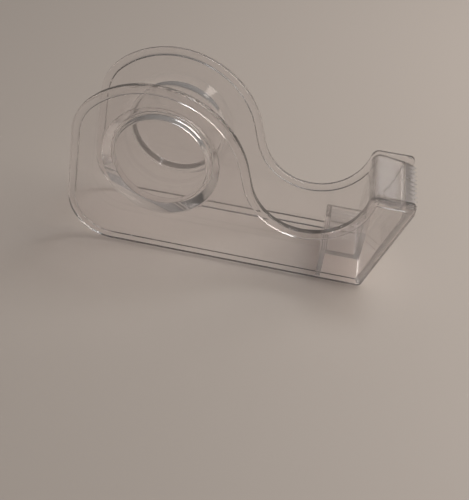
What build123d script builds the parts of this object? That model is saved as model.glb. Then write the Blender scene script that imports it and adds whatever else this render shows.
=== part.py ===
"""Hand tape dispenser for one small roll: two clear side walls, a nose between them, a cutter.

X runs from the rear to the nose, Y across the width and Z up, in millimetres. The origin is on
the table, midway along the length and on the mid-plane between the walls.
"""

import os
from math import acos, atan2, cos, hypot, radians, sin, sqrt

from build123d import *

# Overall size
overall_length = 71.6       # heel to the front of the side walls
overall_height = 38.3       # table to the top of the round over the roll
overall_width = 19.7        # over both side walls

# Outline of a side wall
round_radius = 19.95        # the round that covers the roll
round_setback = 18.85       # its centre, ahead of the heel
shoulder_radius = 11.45     # tighter arc at the rear of the round
shoulder_join = 133.0       # where the two arcs meet, in degrees from the nose
heel_radius = 9.65
neck_run = 3.9              # straight run between the round and the dip
valley_floor = 11.55        # lowest point of the dip, where the free tape is gripped
nose_height = 22.8
nose_depth = 9.1            # front to back, along the top of the nose
chin_height = 20.4          # the front is upright above this height and slants below it
toe_setback = 6.55          # the slant ends this far behind the front
nose_back_round = 1.8
nose_front_round = 1.0
toe_round = 1.2

# Section of a side wall: the rim stands outwards, and the inner face is flat
rim_width = 1.75            # in the plane of the wall
rim_depth = 1.7             # across the wall
plate_thickness = 0.95
rim_edge_radius = 0.45

# Hub cones that hold the roll's core
hub_ahead = 0.9             # hub axis, ahead of the centre of the round
hub_height = 21.1
hub_foot_radius = 12.3      # outside, at the wall
hub_end_radius = 10.65      # outside, at the free end
hub_hollow_radius = 9.85    # inside, at the wall
hub_lip = 0.5               # thickness at the free end
hub_gap = 11.0              # between the free ends of the two cones
hub_edge_radius = 0.2

# Nose piece
nose_wall = 1.05
top_drop = 1.3              # the top sinks this far below the side walls, from back to front
ledge_height = 7.35
ledge_depth = 7.25          # step behind the nose
nose_top_round = 1.8
chin_block_depth = 2.2      # thick upper part of the front wall, behind the cutter
chin_block_bottom = 16.8
side_clearance = 0.08       # nose piece to the inner face of each side wall
foot_clearance = 0.25       # nose piece to the table

# Cutter
cutter_width = 2.0
cutter_thickness = 0.7
tooth_pitch = 1.6
tooth_depth = 0.7
tooth_proud = 0.5           # teeth beyond the front of the side walls

# Places that follow from the sizes
rear_x = -(overall_length + tooth_proud) / 2
front_x = rear_x + overall_length
round_x = rear_x + round_setback
round_z = overall_height - round_radius
hub_x = round_x + hub_ahead
heel_x = rear_x + heel_radius
top_back_x = front_x - nose_depth
toe_x = front_x - toe_setback
inner_y = overall_width / 2 - rim_depth
nose_width = 2 * (inner_y - side_clearance)
slope = atan2(top_drop, nose_depth)


def on_circle(centre, radius, angle):
    """Return the point of a circle at an angle in radians."""
    return (centre[0] + radius * cos(angle), centre[1] + radius * sin(angle))


# The dip is an arc that ends the straight neck, reaches down to valley_floor and ends at the
# back of the nose's top. These three conditions give one quadratic for its centre.
dip = nose_height - valley_floor
spread = (round_radius + round_z - valley_floor) / dip
reach = top_back_x - round_x
excess = round_radius**2 + neck_run**2 - (round_z - valley_floor) ** 2
root = sqrt((spread * reach) ** 2 - (spread - 1) * (spread * (reach**2 + dip**2) + excess))
valley_run = (spread * reach - root) / (spread - 1)
valley_radius = ((valley_run - reach) ** 2 + dip**2) / (2 * dip)
valley = (round_x + valley_run, valley_floor + valley_radius)

# The neck touches the round and the dip, on opposite sides, along one normal.
round_centre = (round_x, round_z)
valley_rise = valley[1] - round_z
neck_normal = atan2(valley_rise, valley_run) + acos(
    (round_radius + valley_radius) / hypot(valley_run, valley_rise)
)

# The shoulder arc lies inside the round and touches it at shoulder_join.
join_angle = radians(shoulder_join)
shoulder = on_circle(round_centre, round_radius - shoulder_radius, join_angle)

# The rear line touches the heel round and the shoulder along one normal.
heel = (heel_x, heel_radius)
shoulder_run, shoulder_rise = shoulder[0] - heel_x, shoulder[1] - heel_radius
rear_normal = atan2(shoulder_rise, shoulder_run) + acos(
    (heel_radius - shoulder_radius) / hypot(shoulder_run, shoulder_rise)
)

heel_middle = on_circle(heel, heel_radius, (rear_normal + radians(270)) / 2)
heel_point = on_circle(heel, heel_radius, rear_normal)
rear_point = on_circle(shoulder, shoulder_radius, rear_normal)
shoulder_middle = on_circle(shoulder, shoulder_radius, (rear_normal + join_angle) / 2)
join_point = on_circle(shoulder, shoulder_radius, join_angle)
round_middle = on_circle(round_centre, round_radius, (join_angle + neck_normal) / 2)
neck_top = on_circle(round_centre, round_radius, neck_normal)
neck_foot = on_circle(valley, valley_radius, neck_normal + radians(180))
valley_bottom = (valley[0], valley_floor)

# Side outline shared by both walls, in X and Z
with BuildSketch() as wall_outline:
    with BuildLine():
        Line((toe_x, 0), (heel_x, 0))
        ThreePointArc((heel_x, 0), heel_middle, heel_point)
        Line(heel_point, rear_point)
        ThreePointArc(rear_point, shoulder_middle, join_point)
        ThreePointArc(join_point, round_middle, neck_top)
        Line(neck_top, neck_foot)
        ThreePointArc(neck_foot, valley_bottom, (top_back_x, nose_height))
        Line((top_back_x, nose_height), (front_x, nose_height))
        Line((front_x, nose_height), (front_x, chin_height))
        Line((front_x, chin_height), (toe_x, 0))
    make_face()
    for corner, radius in (
        ((top_back_x, nose_height), nose_back_round),
        ((front_x, nose_height), nose_front_round),
        ((toe_x, 0), toe_round),
    ):
        fillet(wall_outline.vertices().sort_by_distance(corner)[0], radius)

# The plate inside the rim
with BuildSketch() as plate_outline:
    add(wall_outline.sketch)
    offset(amount=-rim_width, mode=Mode.REPLACE)


# Right side wall, at negative Y: a plate with an outward rim, and the hub cone inside
with BuildPart() as right_side_wall:
    with BuildSketch(Plane.XZ.offset(inner_y)):
        add(wall_outline.sketch)
    extrude(amount=rim_depth)
    with BuildSketch(Plane.XZ.offset(overall_width / 2)):
        add(plate_outline.sketch)
    extrude(amount=plate_thickness - rim_depth, mode=Mode.SUBTRACT)
    outer_rim = right_side_wall.faces().sort_by(Axis.Y)[0]
    inner_face = right_side_wall.faces().sort_by(Axis.Y)[-1]
    fillet(outer_rim.edges() + inner_face.outer_wire().edges(), rim_edge_radius)
    with BuildSketch(Plane.XY.offset(hub_height)):
        with BuildLine():
            Polyline(
                (hub_x + hub_hollow_radius, -inner_y),
                (hub_x + hub_foot_radius, -inner_y),
                (hub_x + hub_end_radius, -hub_gap / 2),
                (hub_x + hub_end_radius - hub_lip, -hub_gap / 2),
                close=True,
            )
        make_face()
    revolve(axis=Axis((hub_x, 0, hub_height), (0, 1, 0)))
    hub_end = right_side_wall.faces().sort_by(Axis.Y)[-1]
    fillet(hub_end.edges(), hub_edge_radius)

# Left side wall: the mirror image, at positive Y
with BuildPart() as left_side_wall:
    mirror(right_side_wall.part, about=Plane.XZ)

# Cutter: a toothed strip let into the front edge of the nose's top
top_front_z = nose_height - top_drop
along_top = (cos(slope), 0, -sin(slope))
off_top = (sin(slope), 0, cos(slope))
cutter_plane = Plane(origin=(front_x, 0, top_front_z), x_dir=along_top, z_dir=off_top)
tooth_count = round(nose_width / tooth_pitch)
tooth_step = nose_width / tooth_count
tooth_tip = tooth_proud / cos(slope)

tooth_line = []
for tooth in range(tooth_count):
    valley_y = -nose_width / 2 + tooth * tooth_step
    tooth_line.append((tooth_tip - tooth_depth, valley_y))
    tooth_line.append((tooth_tip, valley_y + tooth_step / 2))
tooth_line.append((tooth_tip - tooth_depth, nose_width / 2))

with BuildPart() as cutter_strip:
    with BuildSketch(cutter_plane):
        with BuildLine():
            back_edge = [(-cutter_width, nose_width / 2), (-cutter_width, -nose_width / 2)]
            Polyline(*tooth_line, *back_edge, close=True)
        make_face()
    extrude(amount=-cutter_thickness)

# Nose piece: a folded wall, open below, with a seat for the cutter
ledge_back_x = top_back_x - ledge_depth
toe_slope = toe_setback / chin_height
block_x = front_x - chin_block_depth
block_top = nose_height - top_drop * (block_x - top_back_x) / nose_depth
nose_line = [
    (ledge_back_x, foot_clearance),
    (ledge_back_x, ledge_height),
    (top_back_x, ledge_height),
    (top_back_x, nose_height),
    (front_x, top_front_z),
    (front_x, chin_height),
    (toe_x + foot_clearance * toe_slope, foot_clearance),
]
with BuildPart() as nose_piece:
    with BuildSketch(Plane.XZ.offset(-nose_width / 2)):
        with BuildLine():
            Polyline(*nose_line)
            offset(amount=nose_wall, side=Side.RIGHT, kind=Kind.INTERSECTION)
        make_face()
        with BuildLine():
            Polyline(
                (block_x, block_top),
                (front_x, top_front_z),
                (front_x, chin_height),
                (toe_x + chin_block_bottom * toe_slope, chin_block_bottom),
                (block_x, chin_block_bottom),
                close=True,
            )
        make_face()
    extrude(amount=nose_width)
    top_edges = nose_piece.edges().filter_by(Axis.Y).sort_by(Axis.Z)
    fillet(top_edges[-1], nose_top_round)
    with BuildSketch(cutter_plane):
        with Locations((-cutter_width, 0)):
            Rectangle(3 * cutter_width, 2 * nose_width, align=(Align.MIN, Align.CENTER))
    extrude(amount=-cutter_thickness, mode=Mode.SUBTRACT)

os.makedirs("parts", exist_ok=True)

right_side_wall.part.label = "right_side_wall"
export_step(right_side_wall.part, "parts/right_side_wall.step")
left_side_wall.part.label = "left_side_wall"
export_step(left_side_wall.part, "parts/left_side_wall.step")
nose_piece.part.label = "nose_piece"
export_step(nose_piece.part, "parts/nose_piece.step")
cutter_strip.part.label = "cutter_strip"
export_step(cutter_strip.part, "parts/cutter_strip.step")
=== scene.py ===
"""Clear hand tape dispenser: two rimmed side walls with hub cones, a folded nose piece and a cutter.

Lengths are in metres. X runs from the heel to the nose, Y across the width and Z up.
"""

from math import acos, atan2, cos, hypot, pi, radians, sin, sqrt

import bmesh
import bpy
import numpy as np
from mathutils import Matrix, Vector
from mathutils.geometry import delaunay_2d_cdt


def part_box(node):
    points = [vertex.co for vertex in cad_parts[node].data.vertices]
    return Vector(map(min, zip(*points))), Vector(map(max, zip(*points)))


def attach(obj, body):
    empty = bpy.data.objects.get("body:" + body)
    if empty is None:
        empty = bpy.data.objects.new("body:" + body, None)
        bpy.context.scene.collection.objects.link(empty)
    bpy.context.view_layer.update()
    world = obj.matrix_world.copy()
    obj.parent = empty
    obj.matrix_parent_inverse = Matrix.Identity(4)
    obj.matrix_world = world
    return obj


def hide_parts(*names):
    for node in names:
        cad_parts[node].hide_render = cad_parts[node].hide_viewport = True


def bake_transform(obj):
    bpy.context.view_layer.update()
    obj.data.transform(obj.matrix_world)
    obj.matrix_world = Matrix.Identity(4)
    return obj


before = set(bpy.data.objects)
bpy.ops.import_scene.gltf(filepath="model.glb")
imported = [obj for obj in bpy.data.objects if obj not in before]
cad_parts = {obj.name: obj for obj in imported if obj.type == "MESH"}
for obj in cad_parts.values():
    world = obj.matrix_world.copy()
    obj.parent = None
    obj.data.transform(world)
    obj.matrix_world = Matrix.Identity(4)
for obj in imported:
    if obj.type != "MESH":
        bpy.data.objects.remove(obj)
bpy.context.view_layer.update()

# ---------------------------------------------------------------------------------------------
# Side walls. Each is one injection moulding in clear acrylic: a thin plate with a rim that
# stands outwards round its edge, and a hollow cone inside that holds the roll's core. The walls
# are welded to the nose piece, and they spring apart at the rear when a roll is changed.

mm = 0.001

wall_low, wall_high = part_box("right_side_wall")
rear_x, front_x = wall_low[0], wall_high[0]
half_width = -wall_low[1]

overall_height = wall_high[2]
round_radius = 19.95 * mm
round_x = rear_x + 18.85 * mm
round_z = overall_height - round_radius
shoulder_radius = 11.45 * mm
shoulder_join = radians(133)
heel_round = 9.65 * mm
neck_run = 3.9 * mm
valley_floor = 11.55 * mm
nose_height = 22.8 * mm
nose_depth = 9.1 * mm
chin_height = 20.4 * mm
toe_setback = 6.55 * mm
nose_back_round = 1.8 * mm
nose_front_round = 1.0 * mm
chin_round = 0.7 * mm
toe_round = 1.2 * mm
least_round = 0.22 * mm     # of the rim's inner edge at a tight corner

rim_width = 1.75 * mm
rim_depth = 1.7 * mm
rim_edge_round = 0.5 * mm
rim_step_round = 0.55 * mm     # of the rim's edge towards the plate
plate_thickness = 0.95 * mm
hold = 0.04 * mm            # narrow strip that keeps a flat face's shading flat

hub_x = round_x + 0.9 * mm
hub_z = 21.1 * mm
hub_foot = 12.3 * mm
hub_end = 10.65 * mm
hub_hollow = 9.85 * mm
hub_lip = 0.5 * mm
hub_length = half_width - rim_depth + wall_high[1]
hub_foot_round = 0.35 * mm
hub_end_round = 0.24 * mm
hub_skirt = 2 * mm          # flat ring outside the cone that sets its foot's corner
hub_steps = 144
face_pitch = 3 * mm         # of the points inside a wall's flat faces
merge_distance = 0.002 * mm  # points nearer than this are one

heel_x = rear_x + heel_round
top_back_x = front_x - nose_depth
toe_x = front_x - toe_setback
slant = hypot(toe_setback, chin_height)


def arc(centre, radius, start, stop, count):
    """Points on a circle, evenly from angle start to angle stop."""
    angle = np.linspace(start, stop, count)
    return np.stack([centre[0] + radius * np.cos(angle), centre[1] + radius * np.sin(angle)], axis=1)


def rounded_corner(before, corner, after, radius, count):
    """The arc that touches both sides of a corner, from the side of before to the side of after."""
    before, corner, after = (np.array(point, float) for point in (before, corner, after))
    to_before = (before - corner) / np.linalg.norm(before - corner)
    to_after = (after - corner) / np.linalg.norm(after - corner)
    half = acos(float(np.clip(to_before @ to_after, -1, 1))) / 2
    inward = (to_before + to_after) / np.linalg.norm(to_before + to_after)
    centre = corner + inward * radius / sin(half)
    reach = radius / np.tan(half)
    first = corner + to_before * reach - centre
    last = corner + to_after * reach - centre
    start = atan2(first[1], first[0])
    sweep = (atan2(last[1], last[0]) - start + pi) % (2 * pi) - pi
    return arc(centre, radius, start, start + sweep, count)


def joined(arcs, steps):
    """A closed outline: each arc, then a straight run of so many steps to the next arc."""
    pieces = []
    for this, following, count in zip(arcs, arcs[1:] + arcs[:1], steps):
        pieces.append(this)
        share = np.linspace(0, 1, count + 1)[1:-1, None]
        pieces.append(this[-1] * (1 - share) + following[0] * share)
    return np.concatenate(pieces)


# The dip ends the straight neck, reaches down to the valley floor and ends at the back of the top.
dip = nose_height - valley_floor
spread = (round_radius + round_z - valley_floor) / dip
reach = top_back_x - round_x
excess = round_radius**2 + neck_run**2 - (round_z - valley_floor) ** 2
root = sqrt((spread * reach) ** 2 - (spread - 1) * (spread * (reach**2 + dip**2) + excess))
valley_run = (spread * reach - root) / (spread - 1)
valley_round = ((valley_run - reach) ** 2 + dip**2) / (2 * dip)
valley_x, valley_z = round_x + valley_run, valley_floor + valley_round

# The neck touches the round and the dip along one normal, the rear line the heel and the shoulder.
opening = acos((round_radius + valley_round) / hypot(valley_run, valley_z - round_z))
neck_normal = atan2(valley_z - round_z, valley_run) + opening
shoulder_x = round_x + (round_radius - shoulder_radius) * cos(shoulder_join)
shoulder_z = round_z + (round_radius - shoulder_radius) * sin(shoulder_join)
opening = acos((heel_round - shoulder_radius) / hypot(shoulder_x - heel_x, shoulder_z - heel_round))
rear_normal = atan2(shoulder_z - heel_round, shoulder_x - heel_x) + opening


def wall_outline(inset):
    """The side outline moved inwards by inset: tangent arcs, joined by straight runs."""
    toe = (toe_x - inset * (slant - toe_setback) / chin_height, inset)
    chin = (front_x - inset, chin_height + inset * (slant - chin_height) / toe_setback)
    front = (front_x - inset, nose_height - inset)
    back_round = max(nose_back_round - inset, least_round)
    back_z = nose_height - inset - back_round
    back_reach = valley_round + inset + back_round
    back_x = valley_x + sqrt(back_reach**2 - (back_z - valley_z) ** 2)
    back_angle = atan2(back_z - valley_z, back_x - valley_x)
    heel = arc((heel_x, heel_round), heel_round - inset, 1.5 * pi, rear_normal, 28)
    shoulder = arc((shoulder_x, shoulder_z), shoulder_radius - inset, rear_normal, shoulder_join, 24)
    crown = arc((round_x, round_z), round_radius - inset, shoulder_join, neck_normal, 72)
    valley = arc((valley_x, valley_z), valley_round + inset, neck_normal + pi, back_angle + 2 * pi, 64)
    back = arc((back_x, back_z), back_round, back_angle + pi, pi / 2, 12)
    top = rounded_corner(back[-1], front, chin, max(nose_front_round - inset, least_round), 10)
    chin_arc = rounded_corner(front, chin, toe, max(chin_round - inset, least_round), 5)
    toe_arc = rounded_corner(chin, toe, heel[0], max(toe_round - inset, least_round), 10)
    arcs = [toe_arc, heel, shoulder, crown[1:], valley, back[1:], top, chin_arc]
    return joined(arcs, [40, 8, 1, 4, 1, 6, 3, 12])


def section_arc(centre, radius, start, stop, count=6):
    """A rounded edge of a section, with its angles in degrees."""
    return arc(centre, radius, radians(start), radians(stop), count)


def rim_section():
    """(inset, depth) over the rim, from the inner face to the plate. Depth is as in side_wall."""
    edge, step = rim_edge_round, rim_step_round
    floor = plate_thickness
    return np.concatenate([
        [(rim_width + hold, 0), (edge + hold, 0)],
        section_arc((edge, edge), edge, 270, 180, 9),
        section_arc((edge, rim_depth - edge), edge, 180, 90, 9),
        [(edge + hold, rim_depth), (rim_width - step - hold, rim_depth)],
        section_arc((rim_width - step, rim_depth - step), step, 90, 0),
        [(rim_width, floor + step), (rim_width, floor), (rim_width + hold, floor)],
    ])


def hub_section():
    """(radius, depth) from the flat outside the cone to its hollow. Depth is as in side_wall."""
    def rounded(before, corner, after, radius):
        return rounded_corner(before, corner, after, radius, 7)

    outside, foot = (hub_foot + hub_skirt, 0), (hub_foot, 0)
    end, lip = (hub_end, -hub_length), (hub_end - hub_lip, -hub_length)
    hollow, middle = (hub_hollow, 0), (0, 0)
    return np.concatenate([
        [(hub_foot + hub_foot_round + hold, 0)],
        rounded(outside, foot, end, hub_foot_round),
        rounded(foot, end, lip, hub_end_round),
        rounded(end, lip, hollow, hub_end_round),
        rounded(lip, hollow, middle, hub_foot_round),
        [(hub_hollow - hub_foot_round - hold, 0)],
    ])


def grid_faces(rows, columns):
    """Quads of a closed band of rows points round and columns points across."""
    row = np.arange(rows)[:, None]
    column = np.arange(columns - 1)[None, :]
    following = (row + 1) % rows
    corners = [row * columns + column, following * columns + column]
    corners += [following * columns + column + 1, row * columns + column + 1]
    return np.stack(np.broadcast_arrays(*corners), axis=-1).reshape(-1, 4)


def filled(outer, hole, pitch):
    """Triangles that fill a flat outline round a hole, with a grid of points inside at pitch."""
    def inside(points, loop):
        """Whether each point is inside the loop: it crosses the loop an odd number of times."""
        x, z = points[:, None, 0], points[:, None, 1]
        ax, az = loop[None, :, 0], loop[None, :, 1]
        bx, bz = np.roll(ax, -1, axis=1), np.roll(az, -1, axis=1)
        crosses = (az > z) != (bz > z)
        rise = np.where(bz == az, 1, bz - az)
        return (crosses & (x < (bx - ax) * (z - az) / rise + ax)).sum(axis=1) % 2 == 1

    def clear(points, loop):
        """Whether each point is over half a pitch from every point of the loop."""
        gap = points[:, None, :] - loop[None, :, :]
        return (np.hypot(gap[..., 0], gap[..., 1]) > pitch / 2).all(axis=1)

    low, high = outer.min(axis=0), outer.max(axis=0)
    across = np.arange(low[0], high[0], pitch)
    up = np.arange(low[1], high[1], pitch)
    grid = np.stack(np.meshgrid(across, up), axis=-1).reshape(-1, 2)
    grid = grid[inside(grid, outer) & clear(grid, outer)]
    loops = [outer]
    if hole is not None:
        grid = grid[~inside(grid, hole) & clear(grid, hole)]
        loops.append(hole)
    edges, count = [], 0
    for loop in loops:
        index = np.arange(len(loop)) + count
        edges += list(zip(index.tolist(), np.roll(index, -1).tolist()))
        count += len(loop)
    points = np.concatenate(loops + [grid])
    found = delaunay_2d_cdt((points / mm).tolist(), edges, [], 1, 1e-6)
    corners = np.array([tuple(corner) for corner in found[0]]) * mm
    triangles = np.array(found[2])
    middle = corners[triangles].mean(axis=1)
    keep = inside(middle, outer)
    if hole is not None:
        keep &= ~inside(middle, hole)
    return corners, triangles[keep]


def closed_mesh(name, parts, sharp=40):
    """One closed mesh from surfaces that share their borders; faces turned outwards and smooth."""
    vertices, faces, count = [], [], 0
    for points, corners in parts:
        vertices.append(points)
        faces += (np.asarray(corners) + count).tolist()
        count += len(points)
    mesh = bpy.data.meshes.new(name)
    mesh.from_pydata(np.concatenate(vertices).tolist(), [], faces)
    work = bmesh.new()
    work.from_mesh(mesh)
    bmesh.ops.remove_doubles(work, verts=work.verts, dist=merge_distance)
    bmesh.ops.dissolve_degenerate(work, edges=work.edges, dist=1e-7)
    bmesh.ops.recalc_face_normals(work, faces=work.faces)
    open_edges = [edge for edge in work.edges if len(edge.link_faces) != 2]
    if open_edges:
        raise ValueError(f"{name} has {len(open_edges)} open edges")
    work.to_mesh(mesh)
    work.free()
    mesh.shade_smooth()
    mesh.set_sharp_from_angle(angle=radians(sharp))
    piece = bpy.data.objects.new(name, mesh)
    bpy.context.scene.collection.objects.link(piece)
    return piece


def side_wall(name, side):
    """A side wall: the rim's section carried round the outline, the hub's turned, flat faces filled."""
    inner_y = half_width - rim_depth

    def placed(x, depth, z):
        """Points of the wall, with depth measured outwards from its inner face."""
        return np.stack(np.broadcast_arrays(x, side * (inner_y + depth), z), axis=-1).reshape(-1, 3)

    section = rim_section()
    outer, inner = wall_outline(0), wall_outline(rim_width)
    share = (section[:, 0] / rim_width)[None, :, None]
    rim = outer[:, None, :] * (1 - share) + inner[:, None, :] * share
    turned = hub_section()
    angle = np.linspace(0, 2 * pi, hub_steps, endpoint=False)[:, None]
    ring_x = hub_x + turned[:, 0] * np.cos(angle)
    ring_z = hub_z + turned[:, 0] * np.sin(angle)
    hub_rim = np.stack([ring_x, ring_z], axis=-1)
    inner_face, inner_corners = filled(rim[:, 0], hub_rim[:, 0], face_pitch)
    hub_floor, floor_corners = filled(hub_rim[:, -1], None, face_pitch)
    plate, plate_corners = filled(rim[:, -1], None, face_pitch)
    return closed_mesh(name, [
        (placed(rim[..., 0], section[:, 1], rim[..., 1]), grid_faces(len(outer), len(section))),
        (placed(ring_x, turned[:, 1], ring_z), grid_faces(len(angle), len(turned))),
        (placed(inner_face[:, 0], 0, inner_face[:, 1]), inner_corners),
        (placed(hub_floor[:, 0], 0, hub_floor[:, 1]), floor_corners),
        (placed(plate[:, 0], plate_thickness, plate[:, 1]), plate_corners),
    ])


def colour(code):
    """An sRGB hex code as linear red, green, blue and alpha."""
    value = np.array([int(code[k:k + 2], 16) for k in (1, 3, 5)]) / 255
    linear = np.where(value <= 0.04045, value / 12.92, ((value + 0.055) / 1.055) ** 2.4)
    return (*linear.tolist(), 1.0)


def node(tree, kind, links=(), **settings):
    """Add a node, set its inputs and properties by name, and link inputs from (socket, input) pairs."""
    made = tree.nodes.new(kind)
    for key, value in settings.items():
        socket = made.inputs.get(key.replace("_", " ")) or made.inputs.get(key)
        if socket is not None:
            socket.default_value = value
        else:
            setattr(made, key, value)
    for source, target in links:
        tree.links.new(source, made.inputs[target])
    return made


def clear_acrylic(name, haze, body=0.93, tint="#f8f6f6", rim_from=None):
    """Clear acrylic off a polished mould: glassy, IOR 1.49, with a faint flow ripple and smudges.

    Lamps shine through it with a little loss, so its shadow is pale. Where a wall is over
    rim_from away from the middle in Y it is a thick rim, and less light comes through.
    """
    material = bpy.data.materials.new(name)
    material.use_nodes = True
    tree = material.node_tree
    tree.nodes.clear()
    place = node(tree, "ShaderNodeTexCoord")
    ripple = node(tree, "ShaderNodeTexNoise", [(place.outputs["Object"], "Vector")], Scale=70, Detail=2)
    bump = node(tree, "ShaderNodeBump", [(ripple.outputs["Fac"], "Height")], Strength=0.05, Distance=0.0004)
    smudge = node(tree, "ShaderNodeTexNoise", [(place.outputs["Object"], "Vector")], Scale=110, Detail=5)
    gloss = node(tree, "ShaderNodeMapRange", [(smudge.outputs["Fac"], "Value")])
    gloss.inputs["From Min"].default_value = 0.35
    gloss.inputs["From Max"].default_value = 0.75
    gloss.inputs["To Min"].default_value = haze * 0.6
    gloss.inputs["To Max"].default_value = haze * 2.2
    shader = node(tree, "ShaderNodeBsdfPrincipled", [
        (bump.outputs["Normal"], "Normal"), (gloss.outputs["Result"], "Roughness"),
    ])
    shader.inputs["Base Color"].default_value = colour(tint)
    shader.inputs["IOR"].default_value = 1.49
    shader.inputs["Transmission Weight"].default_value = 1.0
    shader.inputs["Alpha"].default_value = body
    passing = node(tree, "ShaderNodeBsdfTransparent", Color=colour("#dedcdc"))
    if rim_from is not None:
        axes = node(tree, "ShaderNodeSeparateXYZ", [(place.outputs["Object"], "Vector")])
        away = node(tree, "ShaderNodeMath", [(axes.outputs["Y"], 0)], operation="ABSOLUTE")
        thick = node(tree, "ShaderNodeMapRange", [(away.outputs["Value"], "Value")])
        thick.inputs["From Min"].default_value = rim_from
        thick.inputs["From Max"].default_value = rim_from + 0.2 * mm
        loss = node(tree, "ShaderNodeMix", [(thick.outputs["Result"], "Factor")], data_type="RGBA")
        loss.inputs["A"].default_value = colour("#e6e4e4")
        loss.inputs["B"].default_value = colour("#7a7573")
        tree.links.new(loss.outputs["Result"], passing.inputs["Color"])
    path = node(tree, "ShaderNodeLightPath")
    surface = node(tree, "ShaderNodeMixShader", [
        (path.outputs["Is Shadow Ray"], 0), (shader.outputs["BSDF"], 1), (passing.outputs["BSDF"], 2),
    ])
    node(tree, "ShaderNodeOutputMaterial", [(surface.outputs["Shader"], "Surface")])
    return material


rim_start = half_width - rim_depth + plate_thickness + 0.1 * mm     # just outside the plate
wall_plastic = clear_acrylic("clear_acrylic_wall", 0.03, rim_from=rim_start)

for body, side in (("right_side", -1), ("left_side", 1)):
    wall = side_wall(body + "_moulding", side)
    wall.data.materials.append(wall_plastic)
    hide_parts(body + "_wall")
    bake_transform(wall)

# ---------------------------------------------------------------------------------------------
# Nose piece. One clear moulding folded from a ledge, a platform that the free tape sticks to and a
# slanting front, open below. It is thicker behind the chin, where it carries the cutter, and its
# ends are welded to the side walls.

nose_low, nose_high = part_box("nose_piece")
nose_wall = 1.05 * mm
nose_edge_round = 0.08 * mm
top_drop = 1.3 * mm
ledge_height = 7.35 * mm
block_x = front_x - 2.2 * mm
nose_top_round = 1.8 * mm
cutter_width = 2.0 * mm
cutter_thickness = 0.36 * mm    # what shows; its foot is fused into the seat
flank_steps = 8
end_pitch = 1 * mm          # of the points inside the nose's flat ends
longest_step = 1.5 * mm     # of a straight run between two corners

nose_back = nose_low[0]
nose_foot = nose_low[2]
top_fall = top_drop / nose_depth                # of the platform, per length along X
top_stretch = hypot(1, top_fall)
toe_slope = toe_setback / chin_height


def platform(x, depth=0):
    """Height of a line parallel to the platform and depth below it, at x."""
    return nose_height - (x - top_back_x) * top_fall - depth * top_stretch


def nose_outline():
    """The folded wall seen from the side, as one loop. Each corner is (x, z, radius in mm)."""
    seat_x = front_x - cutter_width / top_stretch
    seat_foot_x = seat_x - cutter_thickness * top_fall / top_stretch
    inner_slant = toe_x - nose_wall * hypot(1, toe_slope)
    inside_x = top_back_x + nose_wall
    corners = [
        (nose_back, nose_foot, 0.2), (nose_back + nose_wall, nose_foot, 0.2),
        (nose_back + nose_wall, ledge_height - nose_wall, 0.3),
        (inside_x, ledge_height - nose_wall, 0.35), (inside_x, platform(inside_x, nose_wall), 0.5),
        (block_x, platform(block_x, nose_wall), 1.2), (block_x, (block_x - inner_slant) / toe_slope, 2.0),
        (inner_slant + nose_foot * toe_slope, nose_foot, 0.2),
        (toe_x + nose_foot * toe_slope, nose_foot, 0.3),
        (front_x, chin_height, 0.5), (front_x, platform(front_x, cutter_thickness), 0.14),
        (seat_foot_x, platform(seat_foot_x, cutter_thickness), 0.1), (seat_x, platform(seat_x), 0.14),
        (top_back_x, nose_height, nose_top_round / mm), (top_back_x, ledge_height, 0.35),
        (nose_back, ledge_height, 0.45),
    ]
    places = [np.array(corner[:2]) for corner in corners]
    arcs = []
    for k, (x, z, radius) in enumerate(corners):
        following = places[(k + 1) % len(places)]
        arcs.append(rounded_corner(places[k - 1], places[k], following, radius * mm, 9))
    gaps = [np.linalg.norm(this[-1] - that[0]) for this, that in zip(arcs, arcs[1:] + arcs[:1])]
    return joined(arcs, [max(1, round(gap / longest_step)) for gap in gaps])


def carried_across(loop, half, edge):
    """A side outline carried across from -half to half in Y, with both ends' edges rounded."""
    along = np.roll(loop, -1, axis=0) - np.roll(loop, 1, axis=0)
    outward = np.stack([-along[:, 1], along[:, 0]], axis=1)
    outward /= np.linalg.norm(outward, axis=1, keepdims=True)
    x, z = loop[:, 0], loop[:, 1]
    if (x * np.roll(z, -1) - z * np.roll(x, -1)).sum() > 0:
        outward = -outward
    end = section_arc((edge, edge - half), edge, 270, 180, 5)
    middle = np.linspace(edge - half, half - edge, flank_steps + 1)[1:-1]
    flank = np.stack([np.zeros(len(middle)), middle], axis=1)
    section = np.concatenate([end, flank, end[::-1] * (1, -1)])
    points = loop[:, None, :] - outward[:, None, :] * section[None, :, :1]
    across = np.broadcast_to(section[:, 1], points.shape[:2])
    solid = np.stack([points[..., 0], across, points[..., 1]], axis=-1)
    cap, corners = filled(points[:, 0], None, end_pitch)
    ends = [np.stack([cap[:, 0], np.full(len(cap), y), cap[:, 1]], axis=1) for y in (-half, half)]
    return [(solid.reshape(-1, 3), grid_faces(*points.shape[:2])), (ends[0], corners), (ends[1], corners)]


weld = nose_high[1] + 0.2 * mm     # the ends reach this far from the middle
nose = closed_mesh("nose_moulding", carried_across(nose_outline(), weld, nose_edge_round))
nose.data.materials.append(clear_acrylic("clear_acrylic_nose", 0.05, 0.8))
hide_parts("nose_piece")
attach(nose, "nose")

# ---------------------------------------------------------------------------------------------
# Cutter. A toothed strip of the same clear plastic, let into the front edge of the platform. Its
# upper face is grooved between the teeth, which gives it a frosted look.

cutter_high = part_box("cutter_strip")[1]
tooth_depth = 0.7 * mm
tooth_count = 10
samples = 12                # along Y, for each tooth
fused = 0.03 * mm           # how far the strip reaches into its seat
strip_bevel = 0.08 * mm     # of its edges in the seat
front_bevel = 0.1 * mm      # under its teeth
groove_setback = 0.6 * mm   # from the strip's back to where the grooves start
groove_depth = 0.3 * mm
edge_fall = 0.12 * mm       # of the whole upper face towards the teeth


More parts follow.
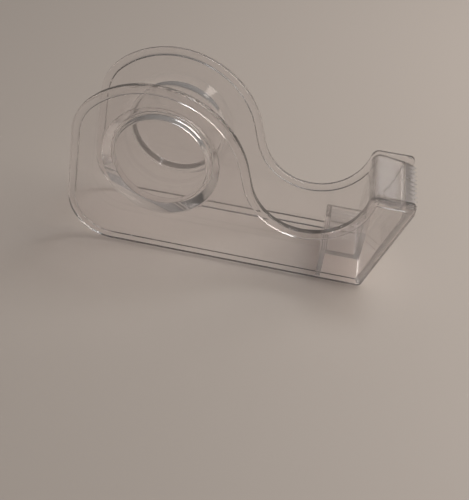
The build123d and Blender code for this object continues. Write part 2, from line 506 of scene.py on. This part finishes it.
def cutter_surface():
    """Sections along Y. Each is a loop in (run, lift): along the platform and square to it.

    With t the place within a tooth, 0 to 1, w = 0.06 + 0.88 |2 t - 1|^0.92. The front edge runs back
    from the line of the tips by tooth_depth w. With s from 0 where the grooves start to 1 at the
    edge, the upper face sinks by groove_depth w s^0.8 + edge_fall s^3.
    """
    half = cutter_high[1]
    tip = (cutter_high[0] - front_x) * top_stretch
    place = np.linspace(0, tooth_count, tooth_count * samples + 1)
    wave = np.abs(2 * (place % 1) - 1)
    wave = 0.06 + 0.88 * wave ** 0.92
    y = -half + 2 * half * place / tooth_count
    back, foot = -cutter_width - fused, -cutter_thickness - fused
    front = (tip - tooth_depth * wave)[:, None]
    share = np.linspace(0, 1, 7)[None, :]
    groove_start = back + groove_setback
    upper = groove_start + (front - groove_start) * share
    sink = -groove_depth * wave[:, None] * share**0.8 - edge_fall * share**3
    every = np.ones((len(place), 1))
    run = np.concatenate([
        every * back, every * (back + strip_bevel), upper, front, front - front_bevel,
        every * (back + strip_bevel), every * back,
    ], axis=1)
    lift = np.concatenate([
        every * -strip_bevel, every * 0, sink, every * (foot + front_bevel), every * foot,
        every * foot, every * (foot + strip_bevel),
    ], axis=1)
    x = front_x + (run + lift * top_fall) / top_stretch
    z = platform(front_x) + (lift - run * top_fall) / top_stretch
    points = np.stack([x, np.broadcast_to(y[:, None], x.shape), z], axis=-1)
    count, around = x.shape
    row = np.arange(count - 1)[:, None]
    column = np.arange(around)[None, :]
    following = (column + 1) % around
    here, beyond = row * around, (row + 1) * around
    corners = [here + column, beyond + column, beyond + following, here + following]
    faces = np.stack(np.broadcast_arrays(*corners), axis=-1)
    ends = [(points[k], [list(range(around))]) for k in (0, -1)]
    return [(points.reshape(-1, 3), faces.reshape(-1, 4)), *ends]


cutter = closed_mesh("cutter_teeth", cutter_surface(), 30)
cutter.data.materials.append(clear_acrylic("frosted_acrylic_cutter", 0.25, 0.85, "#b9b6b5"))
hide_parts("cutter_strip")
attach(cutter, "nose")

# ---------------------------------------------------------------------------------------------
# Table, light and camera. A pale matt table, a dim room that is lighter on one side, a warm window
# at the right and a weaker lamp above it, further back.

table_size = 3.0
bpy.ops.mesh.primitive_plane_add(size=table_size)
table = bpy.context.object
table.name = "table"
table_paint = bpy.data.materials.new("pale_table")
table_paint.use_nodes = True
table_shader = table_paint.node_tree.nodes["Principled BSDF"]
table_shader.inputs["Base Color"].default_value = colour("#bab3ad")
table_shader.inputs["Roughness"].default_value = 0.6
table.data.materials.append(table_paint)

world = bpy.data.worlds.new("room")
world.use_nodes = True
sky = world.node_tree
direction = node(sky, "ShaderNodeTexCoord")
towards = node(sky, "ShaderNodeVectorMath", [(direction.outputs["Generated"], 0)], operation="DOT_PRODUCT")
towards.inputs[1].default_value = (0.55, 0.35, 0.6)
grade = node(sky, "ShaderNodeMapRange", [(towards.outputs["Value"], "Value")])
grade.inputs["From Min"].default_value = -0.7
grade.inputs["From Max"].default_value = 0.8
shade = node(sky, "ShaderNodeMix", [(grade.outputs["Result"], "Factor")], data_type="RGBA")
shade.inputs["A"].default_value = colour("#454240")
shade.inputs["B"].default_value = colour("#cfcac6")
backdrop = sky.nodes["Background"]
sky.links.new(shade.outputs["Result"], backdrop.inputs["Color"])
backdrop.inputs["Strength"].default_value = 0.43
bpy.context.scene.world = world


def soft_light(name, place, target, size, power, tint):
    """A square area light at place, turned towards target."""
    data = bpy.data.lights.new(name, "AREA")
    data.size = size
    data.energy = power
    data.color = colour(tint)[:3]
    lamp = bpy.data.objects.new(name, data)
    lamp.location = place
    lamp.rotation_euler = (Vector(target) - Vector(place)).to_track_quat("-Z", "Y").to_euler()
    bpy.context.scene.collection.objects.link(lamp)


soft_light("window", (0.32, 0.12, 0.32), (0, 0, 0), 0.32, 1.42, "#fff4ea")
soft_light("lamp", (0.2, 0.3, 0.6), (0, 0, 0), 0.2, 0.9, "#ffffff")

camera_data = bpy.data.cameras.new("camera")
camera_data.lens = 50.08
camera_data.sensor_width = 36
camera_data.shift_x = 0.0029
camera_data.shift_y = -0.0083
camera_data.clip_start = 0.01
camera = bpy.data.objects.new("camera", camera_data)
camera.location = (13.57 * mm, -124.82 * mm, 98.46 * mm)
camera.rotation_euler = (0.88544, -0.09448, 0.18764)
bpy.context.scene.collection.objects.link(camera)
bpy.context.scene.camera = camera
bpy.context.scene.view_settings.view_transform = "Standard"
